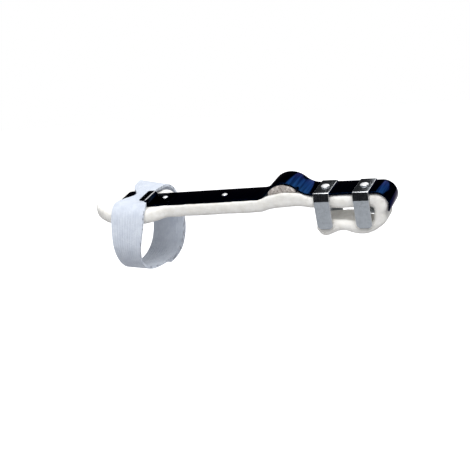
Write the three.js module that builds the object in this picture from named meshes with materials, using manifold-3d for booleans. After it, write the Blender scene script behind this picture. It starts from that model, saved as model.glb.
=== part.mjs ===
import * as THREE from 'three';
import { mergeVertices } from 'three/addons/utils/BufferGeometryUtils.js';
import Module from 'manifold-3d';

// A finger splint: a bent spring steel blade on a felt lining, with two finger bands and a wrist strap.
// Sizes are in millimetres. X runs along the splint from its strap to its curled tip, Y across it, Z up.
// The origin is on the felt's underside, below the middle of the strap.

const clearance = 0.3;

const bladeWidth = 20;
const bladeThickness = 1.2;
const bladeReach = 8.7;
const endFlat = 5.2;
const endLift = 2.3;
const endBend = 27;
const endRadius = 3;
const wristRun = 86;
const wristSlope = 1.3;
const rampBend = 45;
const rampRadius = 6;
const rampRun = 5.6;
const archRadius = 14;
const tailRadius = 13;
const fingerRun = 38.8;
const curlRadius = 8.5;
const curlBend = 137;
const curlEndLength = 5.5;
const cornerLength = 2;

const feltThickness = 8.2;
const feltShow = 1.5;
const fingerFeltShow = 0.9;
const paddleShow = 10.5;
const paddleReach = 27.5;
const paddleRound = 21;
const paddleRun = 13;
const paddleLift = 3.5;
const flareLength = 14;
const feltEdge = 3.2;
const bedDepth = 0.8;
const rimThickness = 3;
const knuckleHump = 3.4;
const knuckleSwell = 1.4;
const fingerSwell = 0.8;
const bandPinchEase = 3;
const fingerBlend = 12;
const fingerGap = 7.7;
const fingerTrough = 2.4;

const padInset = 0.7;
const padEdge = 0.8;
const padLeast = 0.35;

const bandWidth = 10;
const bandThickness = 0.9;
const bandSetback = 8.7;
const bandPitch = 24.7;
const bandLeg = 23.5;
const bandCorner = 1.4;
const bandSpread = 13;
const bandShoulder = 3.4;
const shoulderRadius = 1;
const bandTipLength = 3.2;
const volarOverhang = 2.1;

const keeperInset = 2.25;
const keeperThickness = 0.9;
const keeperFoot = 16;
const keeperStart = 12;
const keeperRise = 2.3;
const keeperRiserBend = 52;
const keeperLip = 3.4;
const keeperRadius = 0.6;

const bandRivetRadius = 2.7;
const bandRivetDome = 1.2;
const smallRivetRadius = 1.75;
const smallRivetDome = 0.8;
const shankRadius = 1.1;
const keeperRivetX = 21.5;
const bladeRivetX = 63.5;
const rivetSides = 14;
const drillReach = 4;

const strapWidth = 23;
const strapThickness = 1.5;
const strapX = 3.5;
const wristWidth = 58;
const wristDepth = 35;
const wristMiddle = 3;
const strapStart = 0.53;
const strapLap = 0.17;
const strapSteps = 84;
const strapAcross = 4;

const radians = THREE.MathUtils.degToRad;
const smooth = THREE.MathUtils.smoothstep;

function material(color, roughness, metalness) {
  return new THREE.MeshStandardMaterial({ color, roughness, metalness });
}

const bluedSteel = material(0x0a1220, 0.22, 1);
const brightSteel = material(0x9aa3b0, 0.25, 1);
const rivetSteel = material(0xe4e6e8, 0.2, 1);
const whiteFelt = material(0xf2f0ea, 0.95, 0);
const greyFelt = material(0xa89c92, 0.95, 0);
const whiteStrap = material(0xdfe8f4, 0.9, 0);

// Closed solids, lofted through rings with equally many corners

function loft(rings) {
  const count = rings[0].length;
  const points = rings.flat();
  const index = [];
  for (let i = 0; i < rings.length - 1; i += 1) {
    for (let j = 0; j < count; j += 1) {
      const next = (j + 1) % count;
      const low = i * count;
      const high = low + count;
      index.push(low + j, low + next, high + next, low + j, high + next, high + j);
    }
  }
  for (const [first, flip] of [[0, true], [(rings.length - 1) * count, false]]) {
    const middle = new THREE.Vector3();
    for (let j = 0; j < count; j += 1) middle.addScaledVector(points[first + j], 1 / count);
    points.push(middle);
    for (let j = 0; j < count; j += 1) {
      const next = first + ((j + 1) % count);
      const corner = first + j;
      index.push(points.length - 1, flip ? next : corner, flip ? corner : next);
    }
  }
  return closedGeometry(points, index);
}

function closedGeometry(points, index) {
  let volume = 0;
  for (let i = 0; i < index.length; i += 3) {
    const [a, b, c] = [points[index[i]], points[index[i + 1]], points[index[i + 2]]];
    volume += a.dot(new THREE.Vector3().crossVectors(b, c));
  }
  const geometry = new THREE.BufferGeometry().setFromPoints(points);
  geometry.setIndex(volume < 0 ? index.toReversed() : index);
  geometry.computeVertexNormals();
  return geometry;
}

// Cuts and joins

const wasm = await Module();
wasm.setup();

function toSolid(geometry) {
  const bare = geometry.clone();
  bare.deleteAttribute('normal');
  bare.deleteAttribute('uv');
  const merged = mergeVertices(bare, 1e-4);
  return new wasm.Manifold(new wasm.Mesh({
    numProp: 3,
    vertProperties: new Float32Array(merged.attributes.position.array),
    triVerts: new Uint32Array(merged.index.array),
  }));
}

function toGeometry(solid) {
  const mesh = solid.getMesh();
  const geometry = new THREE.BufferGeometry();
  geometry.setAttribute('position', new THREE.BufferAttribute(new Float32Array(mesh.vertProperties), 3));
  geometry.setIndex(Array.from(mesh.triVerts));
  geometry.computeVertexNormals();
  return geometry;
}

function drill(geometry, holes) {
  let solid = toSolid(geometry);
  for (const { x, z } of holes) {
    const bore = shankRadius + clearance;
    const drillBit = new THREE.CylinderGeometry(bore, bore, drillReach, rivetSides);
    drillBit.rotateX(Math.PI / 2).translate(x, 0, z);
    solid = solid.subtract(toSolid(drillBit));
  }
  return toGeometry(solid);
}

// Smooth curve through the rows of a table, column by column

function smoothRows(rows, steps) {
  const result = [];
  const at = (i) => rows[THREE.MathUtils.clamp(i, 0, rows.length - 1)];
  for (let i = 0; i < rows.length - 1; i += 1) {
    const four = [-1, 0, 1, 2].map((step) => at(i + step));
    for (let k = 0; k < steps; k += 1) result.push(blendRows(four, k / steps));
  }
  result.push(rows.at(-1));
  return result;
}

function blendRows(four, t) {
  return four[1].map((_, column) => {
    const [a, b, c, d] = four.map((row) => row[column]);
    const slope = (c - a) / 2;
    const nextSlope = (d - b) / 2;
    const rise = b - c;
    return ((2 * rise + slope + nextSlope) * t - (3 * rise + 2 * slope + nextSlope)) * t * t + slope * t + b;
  });
}

// Bent sheet metal: the outer face follows straight runs, each ended by a bend to a new heading

function bentPath(start, bends, stepAngle = 9) {
  const stations = [];
  let { x, z, heading } = start;
  let length = 0;
  const add = () => stations.push({ x, z, heading, length });
  add();
  for (const bend of bends) {
    x += bend.run * Math.cos(radians(heading));
    z += bend.run * Math.sin(radians(heading));
    length += bend.run;
    if (bend.run > 0) add();
    const turn = bend.to - heading;
    const steps = Math.ceil(Math.abs(turn) / stepAngle);
    for (let k = 0; k < steps; k += 1) {
      const chord = 2 * bend.radius * Math.sin(radians(Math.abs(turn) / steps / 2));
      heading += turn / steps / 2;
      x += chord * Math.cos(radians(heading));
      z += chord * Math.sin(radians(heading));
      heading += turn / steps / 2;
      length += chord;
      add();
    }
  }
  return stations;
}

function between(stations, length) {
  const next = Math.max(1, stations.findIndex((station) => station.length >= length));
  const [a, b] = [stations[next - 1], stations[next]];
  const share = (length - a.length) / (b.length - a.length);
  const mix = (key) => THREE.MathUtils.lerp(a[key], b[key], share);
  return { x: mix('x'), z: mix('z'), heading: mix('heading'), length };
}

// A strip of sheet along a path, the corners of its ends rounded to given radii

function strip(stations, width, thickness, startLength, endLength) {
  const total = stations.at(-1).length;
  const angles = [85, 70, 55, 40, 25, 10, 0];
  const [from, to] = [startLength + 0.01, total - endLength - 0.01];
  const places = stations.filter(({ length }) => length > from && length < to);
  const starts = angles.map((angle) => between(stations, startLength * (1 - Math.sin(radians(angle)))));
  const ends = angles.map((angle) => between(stations, total - endLength * (1 - Math.sin(radians(angle)))));
  const halfAt = (length) => {
    const inset = (radius, into) => radius * (1 - Math.sqrt(1 - Math.max(0, into / radius) ** 2));
    const atStart = inset(startLength, startLength - length);
    return width / 2 - Math.max(atStart, inset(endLength, length - total + endLength));
  };
  const rings = [...starts, ...places, ...ends.reverse()].map(({ x, z, heading, length }) => {
    const half = halfAt(length);
    const inX = x + thickness * Math.sin(radians(heading));
    const inZ = z - thickness * Math.cos(radians(heading));
    const corners = [[x, -half, z], [x, half, z], [inX, half, inZ], [inX, -half, inZ]];
    return corners.map((corner) => new THREE.Vector3(...corner));
  });
  return loft(rings);
}

function heightAt(stations, x) {
  const next = Math.max(1, stations.findIndex((station) => station.x >= x));
  const [a, b] = [stations[next - 1], stations[next]];
  return THREE.MathUtils.mapLinear(x, a.x, b.x, a.z, b.z);
}

// The blade: turned-up end, straight run, arch over the pad, flat run below the bands, curl at the tip

const seatTop = feltThickness + clearance + bladeThickness;
const endStart = { x: -bladeReach, z: seatTop + endLift, heading: 0 };
const endDrop = 2 * endRadius * (1 - Math.cos(radians(endBend)));
const bladeBends = [
  { run: endFlat, radius: endRadius, to: -endBend },
  { run: (endLift - endDrop) / Math.sin(radians(endBend)), radius: endRadius, to: wristSlope },
  { run: wristRun, radius: rampRadius, to: rampBend },
  { run: rampRun, radius: archRadius, to: -rampBend },
  { run: 0, radius: tailRadius, to: 0 },
  { run: fingerRun, radius: curlRadius, to: -curlBend },
];
const bladePath = bentPath(endStart, bladeBends);
const curlStart = bladePath.findLast(({ heading }) => heading > -0.01);
const curlX = curlStart.x;
const curlZ = curlStart.z - curlRadius;
const bladeTop = (x) => heightAt(bladePath, x);
const archStart = bladePath.find(({ x, heading }) => x > keeperStart && heading > wristSlope + 0.01);
const archEnd = bladePath.findLast(({ x, heading }) => x < curlX - 1 && heading < -0.01);
const wristLine = (x) => bladeTop(archStart.x) - (archStart.x - x) * Math.tan(radians(wristSlope));

// The felt lining: a round paddle below the strap, a strip under the blade, round the curl and back below

const bandMiddles = [curlX - bandSetback - bandPitch, curlX - bandSetback];
const bladeSeat = bladeThickness + clearance;

function feltTop(x) {
  if (x < archStart.x) {
    const lift = paddleLift * (1 - smooth(x, -paddleReach, 0));
    return wristLine(Math.max(x, -bladeReach)) - bladeSeat + lift;
  }
  if (x > archEnd.x) return bladeTop(x) - bladeSeat;
  const share = (x - archStart.x) / (archEnd.x - archStart.x);
  const chord = THREE.MathUtils.lerp(bladeTop(archStart.x), bladeTop(archEnd.x), share) - bladeSeat;
  const hump = knuckleHump * Math.sin(Math.PI * share) ** 0.8;
  return Math.min(chord + hump, bladeBelow(x, bladeSeat));
}

// Height of the blade's face at a depth below its top, measured square to the steel
function bladeBelow(x, depth) {
  const face = bladePath.map((station) => ({
    x: station.x + depth * Math.sin(radians(station.heading)),
    z: station.z - depth * Math.cos(radians(station.heading)),
  }));
  return heightAt(face, x);
}

function feltHalfWidth(x) {
  const flareEnd = paddleRun + flareLength;
  const show = THREE.MathUtils.lerp(paddleShow, feltShow, smooth(x, paddleRun, flareEnd));
  const finger = smooth(x, archEnd.x - fingerBlend, bandMiddles[0] - bandWidth);
  const fromBand = Math.min(...bandMiddles.map((middle) => Math.abs(x - middle)));
  const bandEdge = bandWidth / 2 + clearance;
  const free = smooth(fromBand, bandEdge, bandEdge + bandPinchEase);
  const half = bladeWidth / 2 + THREE.MathUtils.lerp(show, fingerFeltShow * free, finger);
  const intoEnd = THREE.MathUtils.clamp((paddleRound - paddleReach - x) / paddleRound, 0, 0.996);
  return half * Math.sqrt(1 - intoEnd ** 2);
}

// One cross-section of felt between its outer face and its inner face, with round edges and an inner trough

function feltRing({ outer, inner, half, trough, lip }) {
  const reach = new THREE.Vector2().subVectors(outer, inner);
  const thickness = reach.length();
  const edge = Math.min(feltEdge, thickness * 0.48, half * 0.9);
  const besideBlade = Math.min(edge, Math.max(0.2, half - bladeWidth / 2 - clearance));
  const shoulder = THREE.MathUtils.lerp(edge, besideBlade, smooth(lip, 0.02, 0.2));
  const points = [];
  const add = (across, up) => {
    const place = inner.clone().addScaledVector(reach, up / thickness);
    points.push(new THREE.Vector3(place.x, across, place.y));
  };
  const side = (sign) => {
    const corner = [];
    for (const angle of [0, 30, 60, 90]) {
      const [along, out] = [Math.sin(radians(angle)), Math.cos(radians(angle))];
      corner.push([sign * (half - shoulder + shoulder * along), thickness + lip - edge + edge * out]);
    }
    for (const angle of [90, 60, 30, 0]) {
      const [along, out] = [Math.sin(radians(angle)), Math.cos(radians(angle))];
      corner.push([sign * (half - edge + edge * along), edge - edge * out]);
    }
    return corner;
  };
  const bed = Math.min(bladeWidth / 2 + clearance, half - shoulder) * 0.98;
  const dip = Math.max(0.2, half - edge);
  add(0, thickness);
  add(bed, thickness);
  for (const [across, up] of side(1)) add(across, up);
  add(dip * 0.55, trough * 0.75);
  add(0, trough);
  add(-dip * 0.55, trough * 0.75);
  for (const [across, up] of side(-1).reverse()) add(across, up);
  add(-bed, thickness);
  return points;
}

function dorsalSection(x) {
  const fromEnd = x + paddleReach;
  const rim = Math.max(0, 1 - fromEnd / feltEdge);
  const rimShare = rimThickness / feltThickness;
  const full = rimShare + (1 - rimShare) * Math.sqrt(1 - rim ** 2);
  const overKnuckle = THREE.MathUtils.clamp((x - archStart.x) / (archEnd.x - archStart.x), 0, 1);
  const onFinger = smooth(x, archEnd.x - fingerBlend / 2, archEnd.x + fingerBlend / 2);
  const thickness = feltThickness + knuckleSwell * Math.sin(Math.PI * overKnuckle) + fingerSwell * onFinger;
  const middle = feltTop(x) - thickness / 2;
  const half = feltHalfWidth(x);
  return {
    outer: new THREE.Vector2(x, middle + thickness / 2 * full),
    inner: new THREE.Vector2(x, middle - thickness / 2 * full),
    half,
    trough: fingerTrough * smooth(x, archEnd.x - fingerBlend, archEnd.x),
    lip: bedDepth * smooth(half, bladeWidth / 2 + 0.8, bladeWidth / 2 + 1.5),
  };
}

const dorsalPlaces = [];
for (const angle of [85, 72, 60, 48, 36, 24, 12]) {
  dorsalPlaces.push(paddleRound * (1 - Math.sin(radians(angle))) - paddleReach);
}
for (let k = 0; k <= 3; k += 1) {
  dorsalPlaces.push(THREE.MathUtils.lerp(paddleRound - paddleReach, paddleRun, k / 3));
}
for (let k = 1; k <= 6; k += 1) dorsalPlaces.push(paddleRun + flareLength * k / 6);
for (let k = 1; k <= 6; k += 1) {
  dorsalPlaces.push(THREE.MathUtils.lerp(paddleRun + flareLength, archStart.x, k / 6));
}
for (let k = 1; k <= 12; k += 1) dorsalPlaces.push(THREE.MathUtils.lerp(archStart.x, archEnd.x, k / 12));
for (let k = 1; k < 16; k += 1) dorsalPlaces.push(THREE.MathUtils.lerp(archEnd.x, curlX, k / 16));

// Round the curl: turn of the outer face, its growth past the steel, thickness and inward direction,
// the lengths as shares of the felt's thickness
const tipColumns = [
  [0, 0, 1.15, 16],
  [30, 0, 1.28, 36],
  [60, 0, 1.30, 54],
  [90, 0, 1.26, 66],
  [115, 0, 1.16, 71],
  [138, 0, 1.00, 78],
  [150, 0.26, 0.97, 87],
  [158, 0.55, 1.00, 92],
  [168, 0.80, 0.93, 101],
  [180, 1.02, 0.88, 114],
];

// Back below the gap: place of the outer face and of the inner face as shares of the run to the felt's end,
// and their depths below the gap as shares of the felt's thickness
const volarColumns = [
  [0.086, 0.193, 0.97, 0.43],
  [0.168, 0.254, 1.12, 0.35],
  [0.257, 0.316, 1.23, 0.25],
  [0.365, 0.390, 1.18, 0.15],
  [0.469, 0.469, 0.98, 0.06],
  [0.573, 0.563, 0.85, 0.00],
  [0.662, 0.649, 0.94, 0.00],
  [0.756, 0.736, 1.14, 0.00],
  [0.852, 0.822, 1.30, 0.03],
  [0.931, 0.896, 1.22, 0.08],
  [0.980, 0.956, 0.97, 0.20],
  [1.000, 0.990, 0.71, 0.45],
];

const curlInside = curlRadius - bladeSeat;
const tipRows = tipColumns.map(([turn, growth, thick, inward]) => {
  const radius = curlInside + growth * feltThickness;
  const x = curlX + radius * Math.sin(radians(turn));
  const z = curlZ + radius * Math.cos(radians(turn));
  const wall = thick * feltThickness;
  return [x, z, x - wall * Math.sin(radians(inward)), z - wall * Math.cos(radians(inward))];
});
const gapTop = dorsalSection(curlX - 1).inner.y;
const volarTop = gapTop - fingerGap;
const volarRun = curlX - bandMiddles[0] + bandWidth / 2 + volarOverhang;
const volarRows = volarColumns.map(([outerAlong, innerAlong, depth, sag]) => [
  curlX - outerAlong * volarRun,
  volarTop - depth * feltThickness,
  curlX - innerAlong * volarRun,
  volarTop - sag * feltThickness,
]);
const turnSections = smoothRows([...tipRows, ...volarRows], 2).map(([outerX, outerZ, innerX, innerZ]) => {
  const end = smooth(outerX, curlX - volarRun, curlX - volarRun + 3);
  const half = Math.min(feltHalfWidth(outerX), feltHalfWidth(innerX));
  return {
    outer: new THREE.Vector2(outerX, outerZ),
    inner: new THREE.Vector2(innerX, innerZ),
    half: half * (0.86 + 0.14 * end),
    trough: fingerTrough * (0.35 + 0.65 * smooth(Math.abs(innerZ), 0, 3)) * (0.3 + 0.7 * end),
    lip: 0,
  };
});
const feltRings = [...dorsalPlaces.map(dorsalSection), ...turnSections].map(feltRing);

// The grey pad that fills the arch, its long edges rounded

function padOutline() {
  const shape = new THREE.Shape();
  const places = [];
  const [from, to] = [archStart.x + padEdge, archEnd.x - padEdge];
  for (let k = 0; k <= 22; k += 1) places.push(THREE.MathUtils.lerp(from, to, k / 22));
  const roof = (x) => bladeBelow(x, bladeSeat + padEdge);
  const base = (x) => feltTop(x) + clearance + padEdge;
  const used = places.filter((x) => roof(x) - base(x) > padLeast);
  const upper = used.map((x) => new THREE.Vector2(x, roof(x)));
  const lower = used.map((x) => new THREE.Vector2(x, base(x))).reverse();
  shape.setFromPoints([...upper, ...lower]);
  return shape;
}

function knucklePad() {
  const padWidth = bladeWidth - 2 * padInset;
  const geometry = new THREE.ExtrudeGeometry(padOutline(), {
    depth: padWidth - 2 * padEdge,
    bevelEnabled: true,
    bevelThickness: padEdge,
    bevelSize: padEdge,
    bevelSegments: 2,
    curveSegments: 1,
  });
  return geometry.translate(0, 0, padEdge - padWidth / 2).rotateX(Math.PI / 2);
}

// A finger band: folded over the blade, each leg leaning out from the fold before it turns straight down

function fingerBand() {
  const half = bladeWidth / 2 + clearance + bandThickness;
  const [lean, upright] = [Math.sin(radians(bandSpread)), Math.cos(radians(bandSpread))];
  const spread = bandShoulder * lean + shoulderRadius * (1 - upright);
  const leg = bandLeg - bandShoulder * upright - shoulderRadius * lean - bandCorner * (1 - lean);
  const start = { x: -half - spread, z: -bandLeg, heading: 90 };
  const bends = [
    { run: leg, radius: shoulderRadius, to: 90 - bandSpread },
    { run: bandShoulder, radius: bandCorner, to: 0 },
    { run: 2 * (half - bandCorner * upright), radius: bandCorner, to: bandSpread - 90 },
    { run: bandShoulder, radius: shoulderRadius, to: -90 },
    { run: leg, radius: shoulderRadius, to: -90 },
  ];
  const geometry = strip(bentPath(start, bends, 30), bandWidth, bandThickness, bandTipLength, bandTipLength);
  return geometry.rotateZ(-Math.PI / 2);
}

// The strap keeper: a riveted foot, a riser and a lip that reaches back over the strap's edge

function strapKeeper() {
  const foot = keeperStart + keeperFoot;
  const start = { x: foot, z: bladeTop(foot) + clearance + keeperThickness, heading: 180 + wristSlope };
  const drop = 2 * keeperRadius * (1 - Math.cos(radians(keeperRiserBend)));
  const riser = (keeperRise - drop) / Math.sin(radians(keeperRiserBend));
  const bends = [
    { run: keeperFoot, radius: keeperRadius, to: 180 - keeperRiserBend },
    { run: riser, radius: keeperRadius, to: 180 },
    { run: keeperLip, radius: keeperRadius, to: 180 },
  ];
  const keeperWidth = bladeWidth - 2 * keeperInset;
  return strip(bentPath(start, bends, 30), keeperWidth, -keeperThickness, cornerLength, cornerLength / 2);
}

function rivet(radius, dome, grip) {
  const profile = [new THREE.Vector2(0, -grip), new THREE.Vector2(shankRadius, -grip)];
  profile.push(new THREE.Vector2(shankRadius, 0), new THREE.Vector2(radius, 0));
  for (const angle of [15, 35, 55, 75]) {
    profile.push(new THREE.Vector2(radius * Math.cos(radians(angle)), dome * Math.sin(radians(angle))));
  }
  profile.push(new THREE.Vector2(0, dome));
  return new THREE.LatheGeometry(profile, rivetSides).rotateX(Math.PI / 2);
}

// The wrist strap: both edges of its middle surface round the loop, from the keeper down the near side.
// Each row has the back edge and then the fore edge, toward the bands: its place along the blade as a share
// of the strap's width, across as a share of the loop's width, and its height as a share of the strap's seat
// on the blade where it is above the origin and of the loop's depth where it is below.
const strapColumns = [
  [-0.15, -0.03, 1.185, 0.27, -0.03, 1.020],
  [-0.34, -0.19, 1.256, 0.27, -0.19, 1.027],
  [-0.46, -0.26, 1.238, 0.42, -0.25, 1.063],
  [-0.50, -0.33, 1.156, 0.49, -0.33, 1.063],
  [-0.50, -0.41, 0.808, 0.50, -0.417, 0.754],
  [-0.50, -0.47, 0.180, 0.47, -0.475, 0.108],
  [-0.50, -0.515, -0.180, 0.39, -0.52, -0.200],
  [-0.50, -0.52, -0.400, 0.31, -0.535, -0.420],
  [-0.50, -0.46, -0.650, 0.24, -0.49, -0.680],
  [-0.50, -0.32, -0.880, 0.26, -0.34, -0.910],
  [-0.50, -0.10, -1.020, 0.34, -0.10, -1.040],
  [-0.50, 0.13, -1.040, 0.43, 0.13, -1.060],
  [-0.50, 0.34, -0.930, 0.49, 0.33, -0.950],
  [-0.50, 0.48, -0.700, 0.50, 0.47, -0.720],
  [-0.50, 0.54, -0.400, 0.50, 0.52, -0.420],
  [-0.50, 0.54, -0.090, 0.49, 0.50, -0.110],
  [-0.51, 0.51, 0.610, 0.48, 0.42, 0.538],
  [-0.52, 0.41, 1.167, 0.45, 0.31, 1.023],
  [-0.49, 0.26, 1.249, 0.37, 0.20, 1.095],
  [-0.40, 0.14, 1.271, 0.27, 0.12, 1.048],
];

const strapSeat = seatTop + clearance + strapThickness / 2;
const strapEdgeRows = strapColumns.map((row) => row.map((share, column) => {
  if (column % 3 === 0) return strapX + share * strapWidth;
  if (column % 3 === 1) return wristMiddle + share * wristWidth;
  return share * (share > 0 ? strapSeat : wristDepth);
}));

function strapEdges(place) {
  const count = strapEdgeRows.length;
  const whole = Math.floor(place);
  const rowAt = (step) => strapEdgeRows[THREE.MathUtils.euclideanModulo(whole + step, count)];
  const edges = blendRows([-1, 0, 1, 2].map(rowAt), place - whole);
  return { back: new THREE.Vector3(...edges.slice(0, 3)), fore: new THREE.Vector3(...edges.slice(3)) };
}

function strapRing(place, lift) {
  const { back, fore } = strapEdges(place);
  const ahead = strapEdges(place + 0.05);
  const behind = strapEdges(place - 0.05);
  const ring = [[], []];
  for (let k = 0; k <= strapAcross; k += 1) {
    const at = (edges) => new THREE.Vector3().lerpVectors(edges.back, edges.fore, k / strapAcross);
    const along = at(ahead).sub(at(behind));
    const normal = new THREE.Vector3().subVectors(fore, back).cross(along).normalize();
    const middle = at({ back, fore }).addScaledVector(normal, lift);
    ring[0].push(middle.clone().addScaledVector(normal, strapThickness / 2));
    ring[1].push(middle.clone().addScaledVector(normal, -strapThickness / 2));
  }
  return [...ring[0], ...ring[1].reverse()];
}

function wristStrap() {
  const count = strapColumns.length;
  const total = count * (1 + strapLap);
  const rings = [];
  for (let k = 0; k <= strapSteps; k += 1) {
    const travelled = total * k / strapSteps;
    const lift = (strapThickness + clearance) * smooth(travelled, count - 2.2, count - 0.2);
    rings.push(strapRing(count * strapStart + travelled, lift));
  }
  return loft(rings);
}

// Assembly

const splint = new THREE.Group();

function place(name, geometry, surface, position = [0, 0, 0]) {
  const mesh = new THREE.Mesh(geometry, surface);
  mesh.name = name;
  mesh.position.set(...position);
  splint.add(mesh);
}

const rivetPlaces = [keeperRivetX, bladeRivetX, ...bandMiddles];
const bladeHoles = rivetPlaces.map((x) => ({ x, z: bladeTop(x) }));
const bladeStrip = strip(bladePath, bladeWidth, bladeThickness, cornerLength, curlEndLength);
place('blade', drill(bladeStrip, bladeHoles), bluedSteel);
place('felt_lining', loft(feltRings), whiteFelt);
place('knuckle_pad', knucklePad(), greyFelt);

bandMiddles.forEach((x, k) => {
  const top = bladeTop(x) + clearance + bandThickness;
  const band = drill(fingerBand(), [{ x: 0, z: 0 }]);
  place(`finger_band_${k + 1}`, band, brightSteel, [x, 0, top]);
  const grip = bandThickness + 2 * clearance + bladeThickness;
  const head = rivet(bandRivetRadius, bandRivetDome, grip);
  place(`band_rivet_${k + 1}`, head, rivetSteel, [x, 0, top + clearance]);
});

const keeperTop = bladeTop(keeperRivetX) + clearance + keeperThickness;
place('strap_keeper', drill(strapKeeper(), [{ x: keeperRivetX, z: keeperTop }]), bluedSteel);
const keeperGrip = keeperThickness + 2 * clearance + bladeThickness;
const keeperRivet = rivet(smallRivetRadius, smallRivetDome, keeperGrip);
place('keeper_rivet', keeperRivet, rivetSteel, [keeperRivetX, 0, keeperTop + clearance]);
const bladeRivet = rivet(smallRivetRadius, smallRivetDome, clearance + bladeThickness);
place('blade_rivet', bladeRivet, rivetSteel, [bladeRivetX, 0, bladeTop(bladeRivetX) + clearance]);
place('wrist_strap', wristStrap(), whiteStrap);

export default splint;
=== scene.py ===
import math

import bpy
from mathutils import Matrix, Vector


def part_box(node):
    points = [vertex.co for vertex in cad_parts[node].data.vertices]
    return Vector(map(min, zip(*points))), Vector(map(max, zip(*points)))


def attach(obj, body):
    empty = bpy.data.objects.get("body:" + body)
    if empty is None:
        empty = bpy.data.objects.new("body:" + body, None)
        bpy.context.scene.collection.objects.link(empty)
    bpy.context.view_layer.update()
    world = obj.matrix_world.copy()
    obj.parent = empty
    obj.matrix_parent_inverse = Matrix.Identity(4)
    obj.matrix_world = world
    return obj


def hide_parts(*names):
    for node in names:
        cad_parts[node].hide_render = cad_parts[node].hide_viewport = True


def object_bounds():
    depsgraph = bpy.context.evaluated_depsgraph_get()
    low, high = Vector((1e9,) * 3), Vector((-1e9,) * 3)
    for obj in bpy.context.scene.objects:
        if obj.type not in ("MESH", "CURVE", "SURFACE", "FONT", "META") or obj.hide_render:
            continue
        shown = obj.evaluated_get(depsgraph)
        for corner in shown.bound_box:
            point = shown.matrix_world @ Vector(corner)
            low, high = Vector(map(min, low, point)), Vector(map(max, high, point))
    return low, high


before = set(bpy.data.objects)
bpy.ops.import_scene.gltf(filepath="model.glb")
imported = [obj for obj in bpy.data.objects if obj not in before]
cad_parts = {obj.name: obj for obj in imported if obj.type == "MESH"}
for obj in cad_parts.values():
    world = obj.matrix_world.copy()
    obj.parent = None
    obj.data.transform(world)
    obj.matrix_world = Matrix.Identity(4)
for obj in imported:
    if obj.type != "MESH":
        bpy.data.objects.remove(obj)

cad_box = [list(corner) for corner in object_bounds()]

# Blade: one strip of polished blue-black spring steel, 20 mm wide and 1.2 mm thick. Its square end is turned
# up, then it runs straight, arches over the pad, lies flat below the bands and curls down at the tip. It is
# bent cold from flat strip, so here too a sheet is run out and bent, edge by edge.
MM = 0.001
BLADE_WIDTH = 20 * MM
BLADE_THICK = 1.2 * MM
BLADE_CORNER = 2 * MM
SEAT_TOP = 9.7 * MM
END_REACH = 8.7 * MM
END_FLAT = 5.2 * MM
END_LIFT = 2.3 * MM
END_BEND = 27
END_RADIUS = 3 * MM
WRIST_SLOPE = 1.3
WRIST_RUN = 86 * MM
RAMP_BEND = 45
RAMP_RADIUS = 6 * MM
RAMP_RUN = 5.6 * MM
ARCH_RADIUS = 14 * MM
TAIL_RADIUS = 13 * MM
FINGER_RUN = 38.8 * MM
CURL_RADIUS = 8.5 * MM
CURL_BEND = 100
CURL_END_BEND = 37
CURL_CORNER = 5.5 * MM
STEEL_EDGE = 0.2 * MM
FOLD_REACH = 0.5 * MM
FIRST_STEP = 0.02 * MM
BEND_SUPPORT = 0.4 * MM
BEND_STEP = 3
CORNER_STEPS = 8
LEAST_SHARE = 1e-5
WELD = 0.001 * MM
SHARP_CORNER = math.radians(50)


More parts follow.
